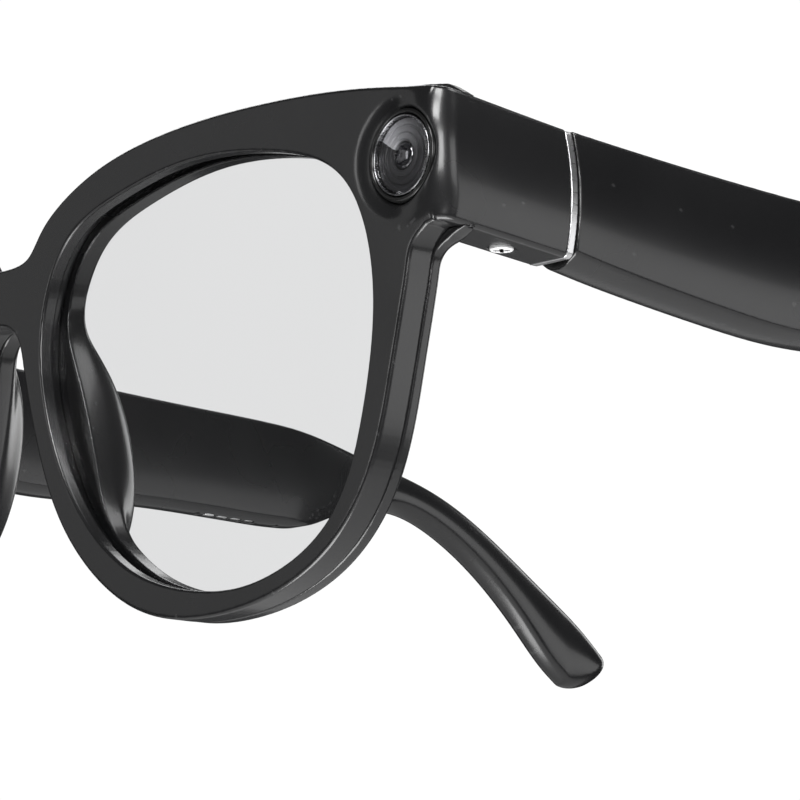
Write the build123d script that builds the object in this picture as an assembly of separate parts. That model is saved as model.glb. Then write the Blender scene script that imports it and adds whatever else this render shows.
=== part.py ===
from build123d import *
import math
import os

# Smart glasses in the worn position.
# +X points to the wearer's left, +Y back to the ears, +Z up; every length is in millimetres.
# The pieces are drawn about a point level with the outer top corners of the front,
# and moved together at the end so that the origin is under the middle of the glasses.

# Front
HALF_WIDTH = 73.0            # middle plane to the outer corner
FACE_SAG = 4.0               # how far the bridge stands ahead of the corners
FACE_RADIUS = (HALF_WIDTH**2 + FACE_SAG**2) / (2 * FACE_SAG)
SHELL_DEPTH = 3.4            # front half of the rim, measured from the face
BACK_RADIUS = 920.0          # curve of the rear surface
BACK_APEX = 2.0              # rear surface on the middle plane
LIP_DEPTH = 1.9              # lip in front of the lens
GROOVE_DEPTH = 0.9           # how far the lens groove is cut past the opening
LENS_THICKNESS = 1.4
LENS_GAP = 0.05
OPENING_CENTRE = (35.2, -25.6)
OPENING_HALF_SIZE = (27.0, 24.6)

# Endpieces and hinges
AXIS_X = 68.7                # hinge axis
AXIS_Y = 11.9
SPLAY = 1.16                 # each temple opens outwards by this angle
ENDPIECE_REAR = 17.9
CORNER_RADIUS = 2.5
RING_WIDTH = 1.0
TRIM_WALL = 0.6
SCREW_RADIUS = 0.75
SCREW_HEAD_RADIUS = 1.3
SCREW_HEAD_Z = -15.2
EAR_BOTTOM = -12.6
EAR_TOP = -4.2
SLOT_BOTTOM = -11.0
SLOT_TOP = -5.8
BARREL_RADIUS = 1.9
BARREL_BORE = 0.80
EAR_HALF_WIDTH = 1.9
AXIAL_GAP = 0.3

# Camera in the left corner and status light in the right corner
CAMERA_X = 66.8
CAMERA_Z = -6.3
BEZEL_RADIUS = 5.2
TRIM_OUTER = 4.65
GLASS_RADIUS = 4.3
BEZEL_FRONT = -1.15
GLASS_FRONT = -0.95
GLASS_THICKNESS = 0.8
BARREL_OUTER = 3.6
CAMERA_LENS_RADIUS = 1.55
HOUSING_REAR = 7.6

# Temples, drawn about the hinge axis: x outwards, y along the temple
OUTER_SIDE = 4.6
INNER_SIDE = -2.4
COVER_SPLIT = -1.0           # the inner cover lies inside this plane
COVER_START = 16.0
COVER_END = 97.0
COVER_FACE = INNER_SIDE + 0.05   # the inner face is dressed flat
TEMPLE_START = 7.3
SWING_RADIUS = 7.75          # the front end of the temple is cut round to swing clear
SLOT_PITCH = 2.43
SPEAKER_SLOTS = 4
FIRST_SLOT_Y = 73.9
SLOT_X = -0.2
CROWN_SHARE = 0.07           # bulge of the outer side as a share of the height

# From the drawing origin to the one under the middle of the glasses
ROW_SHIFT = Location((0, -80.7, 53.1))


def along_y(sketch, start, end):
    """Extrude a sketch drawn in x and z from one y to another."""
    plane = Plane(origin=(0, start, 0), x_dir=(1, 0, 0), z_dir=(0, -1, 0))
    return extrude(plane * sketch, amount=start - end)


def box_between(low, high):
    """Box from its low corner to its high corner."""
    size = [b - a for a, b in zip(low, high)]
    centre = [(a + b) / 2 for a, b in zip(low, high)]
    return Location(centre) * Box(*size)


def post(x, y, radius, bottom, top):
    """Upright cylinder."""
    return Location((x, y, (bottom + top) / 2)) * Cylinder(radius, top - bottom)


def disc(x, z, radius, front, back):
    """Cylinder lying along y."""
    middle = Location((x, (front + back) / 2, z), (90, 0, 0))
    return middle * Cylinder(radius, back - front)


def mirrored(shape):
    return mirror(shape, about=Plane.YZ)


# ---------------------------------------------------------------- front outlines

def front_half_outline():
    """Face of the rim, bridge and corner on the wearer's left, in x and z."""
    brow = Spline((4.6, -8.6), (8.2, -5.0), (15.1, -0.8), (25.0, 1.9), (40.0, 3.1),
                  (56.0, 2.6), (70.0, 0.7), tangents=[(1, 0.35), (1, -0.16)])
    underside = Line((70.0, -13.9), (69.9, -14.3))
    rim = Spline((69.9, -14.3), (67.5, -18.0), (65.3, -28.3), (61.7, -40.2), (53.3, -49.2),
                 (38.6, -53.1), (24.7, -50.8), (14.0, -42.4), (8.4, -32.5), (5.0, -21.5),
                 (2.9, -16.6), tangents=[(-1, 0), (-0.75, 0.66)])
    outline = [
        Line((0, -8.8), (4.6, -8.6)),
        brow,
        Line((70.0, 0.7), (70.0, -13.9)),
        underside,
        rim,
        Line((2.9, -16.6), (0, -15.5)),
        Line((0, -15.5), (0, -8.8)),
    ]
    return make_face(outline)


def lens_opening(margin=0.0):
    """Opening of the left rim in x and z, or the same outline grown by a margin."""
    points = [(8.35, -17.0), (12.3, -7.7), (21.3, -3.5), (34.2, -1.45), (48.5, -2.95), (57.8, -7.4),
              (62.1, -18.5), (61.0, -32.0), (55.8, -44.3), (45.4, -49.8), (36.2, -50.1),
              (24.5, -46.6), (14.5, -37.5), (9.4, -26.5)]
    centre_x, centre_z = OPENING_CENTRE
    half_width, half_height = OPENING_HALF_SIZE
    grow_x = (half_width + margin) / half_width
    grow_z = (half_height + margin) / half_height
    grown = [(centre_x + (x - centre_x) * grow_x, centre_z + (z - centre_z) * grow_z) for x, z in points]
    return make_face(Spline(*grown, periodic=True))


def face_solid(depth):
    """Everything behind the curved face at the given depth."""
    return Location((0, FACE_RADIUS - FACE_SAG, -25)) * Cylinder(FACE_RADIUS - depth, 120)


def back_solid():
    """Everything behind the rear surface of the rims."""
    return Location((0, BACK_APEX + BACK_RADIUS, -25)) * Cylinder(BACK_RADIUS, 120)


# ---------------------------------------------------------------- sections along the side

def side_section(bottom, top, inner, outer, crown, rise=0.0):
    """Section of endpiece or temple: bulging outer side, flat inner side, rounded corners."""
    middle = (bottom + top) / 2
    lower_outer = (outer - crown, bottom)
    upper_outer = (outer - crown, top)
    upper_inner = (inner, top + rise)
    lower_inner = (inner, bottom)
    sides = [
        Line(lower_inner, lower_outer),
        ThreePointArc(lower_outer, (outer, middle), upper_outer),
        Line(upper_outer, upper_inner),
        Line(upper_inner, lower_inner),
    ]
    section = make_face(sides)
    corner = 0.11 * (top - bottom)
    return fillet(section.vertices(), corner)


def placed_section(y, z, lean, sketch):
    """Put a section on a plane across the temple that leans back by an angle."""
    angle = math.radians(lean)
    normal = (0, -math.cos(angle), math.sin(angle))
    return Plane(origin=(0, y, z), x_dir=(1, 0, 0), z_dir=normal) * sketch


# ---------------------------------------------------------------- front body

def endpiece():
    """Block from the corner of the front back to the temple."""
    front = side_section(-13.8, 0.55, 66.0, 73.2, 0.95, rise=0.8)
    rear = side_section(-15.65, -1.45, AXIS_X - 2.3, 73.4, 0.95)
    front_face = placed_section(-1.6, 0, 0, front)
    rear_face = placed_section(ENDPIECE_REAR + RING_WIDTH, 0, 0, rear)
    block = loft([front_face, rear_face], ruled=True)
    corner_x = 73.2 - CORNER_RADIUS
    corner_y = CORNER_RADIUS - 0.25
    plan = Location((60, 0)) * Rectangle(2 * (corner_x - 60), 60)
    plan += Location((60, corner_y + 20)) * Rectangle(30, 40)
    plan += Location((corner_x, corner_y)) * Circle(CORNER_RADIUS)
    rounded = extrude(Plane.XY.offset(-30) * plan, amount=60)
    return block & rounded & face_solid(0)


def ring_zone():
    """Slice at the rear end of the endpiece that the trim ring takes."""
    return box_between((50, ENDPIECE_REAR, -30), (90, ENDPIECE_REAR + RING_WIDTH, 10))


def hinge_space():
    """Room in the endpiece for the barrel and for the tongue as it swings inwards."""
    low = (AXIS_X - 10, AXIS_Y - 2.4, SLOT_BOTTOM)
    high = (AXIS_X + 2.3, AXIS_Y + 8.0, SLOT_TOP)
    return box_between(low, high)


def corner_housing():
    """Thickening behind the corner of the front, around the camera or the light."""
    block = box_between((60.3, 0, -12.9), (68.0, HOUSING_REAR, -0.2))
    block = fillet(block.edges().filter_by(Axis.Z).sort_by(Axis.X)[:2], 1.2)
    return block


def module_bore():
    """Stepped bore through the corner for the camera or the light."""
    wide = disc(CAMERA_X, CAMERA_Z, BEZEL_RADIUS, -6, 2.6)
    narrow = disc(CAMERA_X, CAMERA_Z, 4.2, 2, 6.7)
    return wide + narrow


def front_half():
    """Left half of the front moulding."""
    rim = along_y(front_half_outline(), -8, 12) & (face_solid(0) - face_solid(SHELL_DEPTH))
    body = rim + (endpiece() - ring_zone()) + corner_housing()
    body -= along_y(lens_opening(), -8, 12)
    groove = along_y(lens_opening(GROOVE_DEPTH), -8, 12)
    body -= groove & (face_solid(LIP_DEPTH) - face_solid(12))
    body -= module_bore()
    body -= hinge_space()
    body -= hinge_block()
    body -= post(AXIS_X, AXIS_Y, SCREW_RADIUS, SCREW_HEAD_Z, -2.9)
    body -= post(AXIS_X, AXIS_Y, SCREW_HEAD_RADIUS, -20, SCREW_HEAD_Z + 0.8)
    return body


def front_frame():
    half = front_half()
    return half + mirrored(half)


def nose_saddle():
    """Moulded nose pad: a ridge that narrows towards the wearer and leans with the rim."""
    # distance back, sideways centre, half width, half height
    levels = [(0.6, 10.3, 3.3, 14.0), (4.5, 10.9, 2.4, 11.0), (6.6, 11.1, 1.5, 8.4), (7.3, 11.2, 0.7, 6.6)]
    ovals = []
    for back, centre, half_width, half_height in levels:
        plane = Plane(origin=(0, back, 0), x_dir=(1, 0, 0), z_dir=(0, -1, 0))
        ovals.append(plane * (Location((centre, -30.0), (0, 0, 15)) * Ellipse(half_width, half_height)))
    return loft(ovals)


def corner_web():
    """Rounded web, in x and z, by which the rear moulding flows into the endpiece."""
    return make_face([
        Line((66.5, -17.5), (66.5, -14.0)),
        Line((66.5, -14.0), (71.8, -14.0)),
        ThreePointArc((71.8, -14.0), (69.0, -15.3), (67.6, -17.5)),
        Line((67.6, -17.5), (66.5, -17.5)),
    ])


def back_half():
    """Left half of the rear moulding with its nose saddle."""
    rim = along_y(front_half_outline(), -8, 12) & (face_solid(SHELL_DEPTH) - back_solid())
    rim -= along_y(lens_opening(), -8, 12)
    rim -= box_between((60.0, -5, -13.5), (90, 20, 10))
    web = along_y(corner_web(), -8, 12) & (face_solid(SHELL_DEPTH) - back_solid())
    saddle = nose_saddle() & face_solid(SHELL_DEPTH)
    return rim + web - endpiece() + saddle


def back_frame():
    half = back_half()
    return half + mirrored(half)


def lens():
    """Left lens, curved with the face, its edge in the groove."""
    blank = along_y(lens_opening(GROOVE_DEPTH - LENS_GAP), -8, 12)
    front = LIP_DEPTH + LENS_GAP
    return blank & (face_solid(front) - face_solid(front + LENS_THICKNESS))


def bezel():
    """Dark collar with a rounded lip around the camera glass."""
    collar = disc(CAMERA_X, CAMERA_Z, BEZEL_RADIUS, BEZEL_FRONT, 2.6)
    collar = fillet(collar.edges().sort_by(Axis.Y)[0], 0.4)
    collar -= disc(CAMERA_X, CAMERA_Z, TRIM_OUTER, -3, 1.2)
    collar -= disc(CAMERA_X, CAMERA_Z, 4.2, 1.0, 3)
    return collar


def camera_trim():
    """Thin bright ring between the bezel and the glass."""
    ring = disc(CAMERA_X, CAMERA_Z, TRIM_OUTER, GLASS_FRONT - 0.1, 1.2)
    return ring - disc(CAMERA_X, CAMERA_Z, GLASS_RADIUS, -3, 2)


def cover_glass():
    glass = disc(CAMERA_X, CAMERA_Z, GLASS_RADIUS, GLASS_FRONT, GLASS_FRONT + GLASS_THICKNESS)
    return chamfer(glass.edges().sort_by(Axis.Y)[0], 0.15)


def camera_barrel():
    """Lens barrel with two steps down to the small front lens."""
    barrel = disc(CAMERA_X, CAMERA_Z, BARREL_OUTER, 0.2, 5.0)
    barrel -= disc(CAMERA_X, CAMERA_Z, 2.6, 0, 0.8)
    barrel -= disc(CAMERA_X, CAMERA_Z, 2.0, 0, 1.3)
    barrel -= disc(CAMERA_X, CAMERA_Z, CAMERA_LENS_RADIUS, 0, 5.2)
    return barrel


def camera_lens():
    """Small domed lens in the middle of the barrel."""
    cylinder = disc(CAMERA_X, CAMERA_Z, CAMERA_LENS_RADIUS, 0.3, 3.0)
    dome = Location((CAMERA_X, 2.6, CAMERA_Z)) * Sphere(2.2)
    return cylinder & (dome + disc(CAMERA_X, CAMERA_Z, CAMERA_LENS_RADIUS, 1.5, 3.0))


def sensor_board():
    """Square board with the image sensor facing the barrel."""
    board = box_between((CAMERA_X - 2.9, 5.6, CAMERA_Z - 2.9), (CAMERA_X + 2.9, 6.4, CAMERA_Z + 2.9))
    sensor = box_between((CAMERA_X - 1.3, 5.05, CAMERA_Z - 1.3), (CAMERA_X + 1.3, 5.6, CAMERA_Z + 1.3))
    return board + sensor


def light_board():
    """Round board with the status light, behind the right window."""
    board = disc(CAMERA_X, CAMERA_Z, 3.8, 2.2, 3.0)
    lamp = box_between((CAMERA_X - 0.8, 1.4, CAMERA_Z - 0.8), (CAMERA_X + 0.8, 2.2, CAMERA_Z + 0.8))
    return board + lamp


def hinge_block():
    """Metal bracket in the left endpiece: two ears joined by a web ahead of the barrel."""
    outline = Location((AXIS_X, AXIS_Y - 2.3)) * Rectangle(2 * EAR_HALF_WIDTH, 4.6)
    outline += Location((AXIS_X, AXIS_Y)) * Circle(EAR_HALF_WIDTH)
    block = extrude(Plane.XY.offset(EAR_BOTTOM) * outline, amount=EAR_TOP - EAR_BOTTOM)
    gap_low = (AXIS_X - 5, AXIS_Y - 2.4, SLOT_BOTTOM)
    gap_high = (AXIS_X + 5, AXIS_Y + 5, SLOT_TOP)
    block -= box_between(gap_low, gap_high)
    return block - post(AXIS_X, AXIS_Y, SCREW_RADIUS, -20, 0)


def hinge_screw():
    """Pin of the hinge, with a cross recess in its head under the endpiece."""
    head_top = SCREW_HEAD_Z + 0.8
    shank = post(AXIS_X, AXIS_Y, SCREW_RADIUS, head_top, -3.0)
    head = post(AXIS_X, AXIS_Y, SCREW_HEAD_RADIUS, SCREW_HEAD_Z, head_top)
    head = chamfer(head.edges().sort_by(Axis.Z)[0], 0.12)
    screw = shank + head
    for turn in (45, 135):
        arm = Location((AXIS_X, AXIS_Y, SCREW_HEAD_Z + 0.15), (0, 0, turn)) * Box(1.6, 0.32, 0.4)
        screw -= arm
    return screw


def trim_ring():
    """Bright band that closes the rear end of the left endpiece."""
    outer = side_section(-15.65, -1.45, AXIS_X - 2.3, 73.4, 0.95)
    start = placed_section(ENDPIECE_REAR, 0, 0, outer)
    band = extrude(start, amount=-RING_WIDTH)
    inner = offset(outer, -TRIM_WALL)
    band -= along_y(inner, ENDPIECE_REAR - 1, ENDPIECE_REAR + 2)
    return band - hinge_space()


def end_plug():
    """Black end plate inside the trim ring."""
    outer = side_section(-15.65, -1.45, AXIS_X - 2.3, 73.4, 0.95)
    plug = along_y(offset(outer, -TRIM_WALL), ENDPIECE_REAR, ENDPIECE_REAR + RING_WIDTH - 0.1)
    return plug - hinge_space()


# ---------------------------------------------------------------- temples, about the hinge axis

def temple_blank():
    """Whole left temple as one smooth solid: a thick front part and a thin ear end."""
    # along, height of centre, height of section, inner side, lean of the section
    stations = [
        (TEMPLE_START, -8.60, 14.3, INNER_SIDE, 0),
        (15.0, -9.5, 14.8, INNER_SIDE, 0),
        (23.0, -10.3, 15.3, INNER_SIDE, 0),
        (31.0, -11.15, 15.7, INNER_SIDE, 0),
        (40.0, -11.9, 16.1, INNER_SIDE, 0),
        (49.0, -12.2, 15.8, INNER_SIDE, 0),
        (58.0, -12.2, 15.0, INNER_SIDE, 0),
        (67.0, -12.2, 14.3, INNER_SIDE, 0),
        (75.0, -12.3, 14.0, INNER_SIDE, 0),
        (82.0, -12.45, 13.9, INNER_SIDE, 0),
        (87.5, -12.6, 13.5, INNER_SIDE, 0),
        (92.5, -12.4, 12.4, INNER_SIDE + 0.3, 0),
        (97.5, -11.9, 10.4, INNER_SIDE + 0.9, 0),
        (103.5, -11.65, 8.3, INNER_SIDE + 1.8, 2),
        (111.0, -11.95, 6.6, 0.1, 9),
        (118.4, -13.8, 6.1, 0.2, 22),
        (128.7, -18.9, 6.6, 0.2, 33),
        (138.1, -25.6, 8.2, 0.1, 38),
        (145.8, -31.5, 9.3, 0.1, 42),
        (151.5, -35.0, 7.8, 0.7, 44),
    ]
    sections = []
    for y, z, height, inner, lean in stations:
        section = side_section(-height / 2, height / 2, inner, OUTER_SIDE, CROWN_SHARE * height)
        sections.append(placed_section(y, z, lean, section))
    blank = loft(sections)
    tip = blank.faces().sort_by(Axis.Y)[-1]
    blank = fillet(tip.edges(), 0.8)
    return blank - post(0, 0, SWING_RADIUS, -30, 10)


def temple_pocket():
    """Hollow of the thick part for the electronics."""
    side = Polyline((15.0, -5.0), (86.0, -8.6), (86.0, -17.4), (40.0, -17.6), (15.0, -14.6), close=True)
    profile = Plane.YZ.offset(COVER_SPLIT) * make_face(side)
    return extrude(profile, amount=4.0)


def cover_zone(inner_limit=-5.0):
    return box_between((inner_limit, COVER_START, -40), (COVER_SPLIT, COVER_END, 10))


def core_wire():
    """Springy wire that lets the ear end be bent to fit."""
    path = Spline((1.9, 92.0, -12.4), (2.2, 111.0, -12.0), (2.3, 118.4, -13.9), (2.3, 128.7, -19.0),
                  (2.3, 138.1, -25.7), (2.3, 143.8, -30.3))
    start = Plane(origin=path @ 0, z_dir=path % 0) * Circle(0.7)
    return sweep(start, path=path)


def speaker_slots():
    """Row of short slots under the temple, with a microphone hole at each end."""
    holes = Sketch()
    for number in range(SPEAKER_SLOTS):
        centre = FIRST_SLOT_Y + number * SLOT_PITCH
        holes += Location((SLOT_X, centre), (0, 0, 90)) * SlotOverall(1.9, 0.8)
    for centre in (FIRST_SLOT_Y - 2.2, FIRST_SLOT_Y + 12.4):
        holes += Location((SLOT_X, centre)) * Circle(0.3)
    return extrude(Plane.XY.offset(-21) * holes, amount=3.7)


def temple_shell():
    """Outer shell of the temple, with the solid ear end."""
    shell = temple_blank() - cover_zone() - temple_pocket()
    shell -= hinge_tongue()
    shell -= core_wire()
    shell -= speaker_slots()
    return shell


def temple_cover():
    """Inner wall of the thick part, closing the pocket."""
    return temple_blank() & cover_zone(COVER_FACE)


def hinge_tongue():
    """Barrel on the hinge axis and the flat tongue that carries it into the temple."""
    bottom = SLOT_BOTTOM + AXIAL_GAP
    top = SLOT_TOP - AXIAL_GAP
    tongue = post(0, 0, BARREL_RADIUS, bottom, top)
    tongue += box_between((-1.3, 0, bottom), (1.3, 14.5, top))
    return tongue - post(0, 0, BARREL_BORE, -20, 0)


def tongue_screws():
    """Two small screws that hold the tongue in the temple, put in from the pocket."""
    screws = []
    for z in (-9.6, -7.2):
        shank = Location((0.0, 15.3, z), (90, 0, 0)) * Cylinder(0.45, 1.6)
        head = Location((0.0, 15.7, z), (90, 0, 0)) * Cylinder(0.8, 0.6)
        screws.append(head & box_between((-1.0, 14.5, -20), (3, 17, 0)))
    return screws


def speaker():
    """Flat speaker that fires down through the slots."""
    box = box_between((-0.7, 73.2, -17.0), (2.7, 83.8, -10.5))
    return fillet(box.edges().filter_by(Axis.X), 1.0)


def speaker_mesh():
    """Light mesh strip between the speaker and the slots."""
    return box_between((-0.65, FIRST_SLOT_Y - 1.0, -17.3), (1.35, FIRST_SLOT_Y + 8.8, -17.05))


def microphone():
    return box_between((-0.7, 70.4, -17.2), (1.7, 72.8, -16.0))


def battery():
    cell = box_between((-0.6, 40.0, -16.6), (2.6, 69.0, -9.0))
    return fillet(cell.edges().filter_by(Axis.Y), 0.8)


# ---------------------------------------------------------------- left temple: power slider

def slider_window():
    return box_between((-3.5, 26.5, -12.2), (-0.5, 33.5, -9.8))


def power_slider():
    """Ribbed knob on the inner face and the plate that keeps it in the window."""
    knob = box_between((-3.0, 26.8, -11.9), (-0.7, 30.8, -10.1))
    knob = chamfer(knob.faces().sort_by(Axis.X)[0].edges(), 0.2)
    for y in (27.8, 28.8, 29.8):
        knob -= box_between((-3.2, y - 0.15, -13), (-2.8, y + 0.15, -9))
    plate = box_between((-0.7, 25.2, -12.9), (-0.2, 32.4, -9.1))
    return knob + plate


def slider_switch():
    """Switch body behind the slider."""
    return box_between((0.1, 24.0, -13.0), (2.4, 36.0, -9.0))


# ---------------------------------------------------------------- right temple: button, board

BUTTON_Y = 30.0
BUTTON_X = 0.6


def button_shaft():
    """Hole in the roof of the temple and the room for the button's flange."""
    hole = Location((BUTTON_X, BUTTON_Y), (0, 0, 90)) * SlotOverall(9.6, 3.2)
    shaft = extrude(Plane.XY.offset(-6.0) * hole, amount=8)
    return shaft + box_between((COVER_SPLIT, 24.2, -8.0), (2.3, 35.8, -5.6))


def capture_button():
    """Long rounded key with a flange below the roof."""
    cap = Location((BUTTON_X, BUTTON_Y), (0, 0, 90)) * SlotOverall(9.0, 2.6)
    key = extrude(Plane.XY.offset(-6.0) * cap, amount=3.0)
    key = fillet(key.faces().sort_by(Axis.Z)[-1].edges(), 0.3)
    flange = box_between((BUTTON_X - 1.3, 24.5, -6.5), (BUTTON_X + 1.3, 35.5, -5.9))
    return key + flange


def button_switch():
    """Small push switch on the edge of the board."""
    return box_between((-0.4, 28.0, -8.8), (2.0, 32.0, -7.4))


def main_board():
    return box_between((0.0, 20.0, -14.8), (0.8, 66.0, -8.9))


def shield_can():
    can = box_between((0.85, 40.0, -14.4), (2.3, 62.0, -9.8))
    return fillet(can.edges().filter_by(Axis.X), 0.5)


def touch_strip():
    """Thin touch sensor against the inside of the outer wall."""
    return box_between((2.6, 38.0, -14.8), (2.9, 70.0, -10.0))


def charging_contacts():
    """Two round contacts flush with the inner face."""
    contacts = []
    for y in (22.0, 27.0):
        middle = Location(((COVER_FACE + COVER_SPLIT) / 2, y, -11.0), (0, 90, 0))
        contacts.append(middle * Cylinder(1.2, COVER_SPLIT - COVER_FACE))
    return contacts


# ---------------------------------------------------------------- placing and writing

HINGE_PLACE = Location((AXIS_X, AXIS_Y, 0), (0, 0, -SPLAY))


def write(name, shape, temple=False, right=False):
    """Write one piece; temple pieces are first put on their hinge, right ones mirrored."""
    if isinstance(shape, list):
        shape = Compound(children=shape)
    if temple:
        shape = HINGE_PLACE * shape
    if right:
        shape = mirrored(shape)
    export_step(ROW_SHIFT * shape, f"parts/{name}.step")


def write_front():
    write("front_frame", front_frame())
    write("back_frame", back_frame())
    for side, right in (("left", False), ("right", True)):
        write(f"lens_{side}", lens(), right=right)
        write(f"hinge_block_{side}", hinge_block(), right=right)
        write(f"hinge_screw_{side}", hinge_screw(), right=right)
        write(f"trim_ring_{side}", trim_ring(), right=right)
        write(f"end_plug_{side}", end_plug(), right=right)
    write("camera_bezel", bezel())
    write("camera_trim_ring", camera_trim())
    write("camera_cover_glass", cover_glass())
    write("camera_barrel", camera_barrel())
    write("camera_lens", camera_lens())
    write("camera_board", sensor_board())
    write("light_bezel", bezel(), right=True)
    write("light_trim_ring", camera_trim(), right=True)
    write("light_window", cover_glass(), right=True)
    write("light_board", light_board(), right=True)


def write_temples():
    shell = temple_shell()
    cover = temple_cover()
    write("temple_shell_left", shell, temple=True)
    write("temple_cover_left", cover - slider_window(), temple=True)
    write("temple_shell_right", shell - button_shaft(), temple=True, right=True)
    right_cover = cover
    for contact in charging_contacts():
        right_cover = right_cover - contact
    write("temple_cover_right", right_cover, temple=True, right=True)
    for side, right in (("left", False), ("right", True)):
        write(f"hinge_tongue_{side}", hinge_tongue(), temple=True, right=right)
        write(f"tongue_screws_{side}", tongue_screws(), temple=True, right=right)
        write(f"speaker_{side}", speaker(), temple=True, right=right)
        write(f"speaker_mesh_{side}", speaker_mesh(), temple=True, right=right)
        write(f"microphone_{side}", microphone(), temple=True, right=right)
        write(f"core_wire_{side}", core_wire(), temple=True, right=right)
    write("battery", battery(), temple=True)
    write("slider_switch", slider_switch(), temple=True)
    write("power_slider", power_slider(), temple=True)
    write("main_board", main_board(), temple=True, right=True)
    write("shield_can", shield_can(), temple=True, right=True)
    write("touch_strip", touch_strip(), temple=True, right=True)
    write("button_switch", button_switch(), temple=True, right=True)
    write("capture_button", capture_button(), temple=True, right=True)
    write("charging_contacts", charging_contacts(), temple=True, right=True)


os.makedirs("parts", exist_ok=True)
write_front()
write_temples()
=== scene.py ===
import math
import bpy
import numpy as np
from mathutils import Matrix, Vector


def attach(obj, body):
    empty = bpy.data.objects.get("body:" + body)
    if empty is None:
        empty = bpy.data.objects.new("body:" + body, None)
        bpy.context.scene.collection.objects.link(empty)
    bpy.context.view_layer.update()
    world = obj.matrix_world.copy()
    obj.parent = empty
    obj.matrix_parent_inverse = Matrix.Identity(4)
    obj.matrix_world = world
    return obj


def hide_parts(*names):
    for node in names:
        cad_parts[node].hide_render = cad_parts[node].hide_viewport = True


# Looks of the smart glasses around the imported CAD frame.
# Shapes are drawn in millimetres about a point level with the outer top corners of the front,
# the same drawing frame as the CAD, and moved to the row frame when the mesh is made.

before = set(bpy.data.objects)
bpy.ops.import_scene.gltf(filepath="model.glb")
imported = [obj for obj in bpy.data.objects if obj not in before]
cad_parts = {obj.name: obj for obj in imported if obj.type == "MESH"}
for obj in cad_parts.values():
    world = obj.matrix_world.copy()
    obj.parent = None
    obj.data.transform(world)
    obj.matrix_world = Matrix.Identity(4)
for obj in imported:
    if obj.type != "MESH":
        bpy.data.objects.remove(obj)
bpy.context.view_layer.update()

# ---- dimensions, in millimetres
TO_ROW = (0.0, -80.7, 53.1)
HALF_WIDTH = 73.0
FACE_SAG = 4.0
SHELL_DEPTH = 3.4
LIP_DEPTH = 1.9
GROOVE = 0.85
LENS_THICKNESS = 1.4
BACK_RADIUS = 920.0
BACK_APEX = 2.0
AXIS_X = 68.7
AXIS_Y = 11.9
SPLAY = math.radians(1.16)
ENDPIECE_REAR = 17.9
RING_WIDTH = 1.0
CAMERA_X = 66.8
CAMERA_Z = -6.3
CAMERA_WELL = 5.2
CELL = 0.22
TEMPLE_CELL = 0.25
TEMPLE_START = 7.3
SWING_RADIUS = 7.75
TEMPLE_OUTER = 4.6
TEMPLE_INNER = -2.4
KEEL_X = 0.3
SLOT_X = -0.2
SLOT_COUNT = 4
FIRST_SLOT = 73.9
SLOT_PITCH = 2.43
SLOT_LENGTH = 1.9
SLOT_WIDTH = 0.85
# angle in radians about the camera's axis, from the wearer's left upwards, where the painted reflection
# wedge on the camera tube ends
WEDGE_EDGE = 2.6


# ---------------------------------------------------------------- small maths

def smooth_curve(points, closed=False, per_span=14):
    """Points along a smooth cubic curve through the given points."""
    knots = np.array(points, float)
    if closed:
        knots = np.vstack([knots[-3:], knots, knots[:4]])
    chord = np.r_[0, np.cumsum(np.sqrt(np.linalg.norm(np.diff(knots, axis=0), axis=1)))]
    count = len(knots)
    gap = np.diff(chord)
    system = np.eye(count)
    target = np.zeros_like(knots)
    for i in range(1, count - 1):
        system[i, i - 1:i + 2] = gap[i - 1], 2 * (gap[i - 1] + gap[i]), gap[i]
        rise = (knots[i + 1] - knots[i]) / gap[i] - (knots[i] - knots[i - 1]) / gap[i - 1]
        target[i] = 6 * rise
    bend = np.linalg.solve(system, target)
    first, last = (3, count - 4) if closed else (0, count - 1)
    curve = []
    for i in range(first, last):
        for step in range(per_span):
            b = step / per_span
            a = 1 - b
            point = a * knots[i] + b * knots[i + 1]
            point = point + ((a**3 - a) * bend[i] + (b**3 - b) * bend[i + 1]) * gap[i]**2 / 6
            curve.append(point)
    if not closed:
        curve.append(knots[last])
    return np.array(curve)


def outline_distance(outline, u, v):
    """Signed distance from a closed outline on a grid, negative inside."""
    u, v = np.broadcast_arrays(u, v)
    nearest = np.full(u.shape, 1e9)
    inside = np.zeros(u.shape, bool)
    for start, end in zip(outline, np.roll(outline, -1, axis=0)):
        along_u, along_v = end - start
        length = along_u**2 + along_v**2
        if length < 1e-12:
            continue
        share = np.clip(((u - start[0]) * along_u + (v - start[1]) * along_v) / length, 0, 1)
        gap = (u - start[0] - share * along_u)**2 + (v - start[1] - share * along_v)**2
        nearest = np.minimum(nearest, gap)
        crosses = (start[1] > v) != (end[1] > v)
        if along_v != 0:
            inside ^= crosses & (u < start[0] + (v - start[1]) * along_u / along_v)
    return np.where(inside, -1, 1) * np.sqrt(nearest)


def both(a, b, rounding):
    """Common part of two solids, with the edge between them rounded."""
    corner = np.hypot(np.maximum(a + rounding, 0), np.maximum(b + rounding, 0))
    return np.minimum(np.maximum(a, b), -rounding) + corner


def cut(a, b, rounding):
    """First solid without the second, with the edge rounded."""
    return both(a, -b, rounding)


def melt(a, b, width):
    """Two solids flowing into each other."""
    share = np.clip(0.5 + 0.5 * (b - a) / width, 0, 1)
    return b + (a - b) * share - width * share * (1 - share)


def ramp(start, end, value):
    """Smooth step from 0 at start to 1 at end."""
    share = np.clip((value - start) / (end - start), 0, 1)
    return share * share * (3 - 2 * share)


def block(x, y, z, low, high):
    """Distance from a box."""
    far = [np.maximum(a - c, c - b) for a, b, c in zip(low, high, (x, y, z))]
    return np.maximum(np.maximum(far[0], far[1]), far[2])


# ---------------------------------------------------------------- meshes

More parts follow.
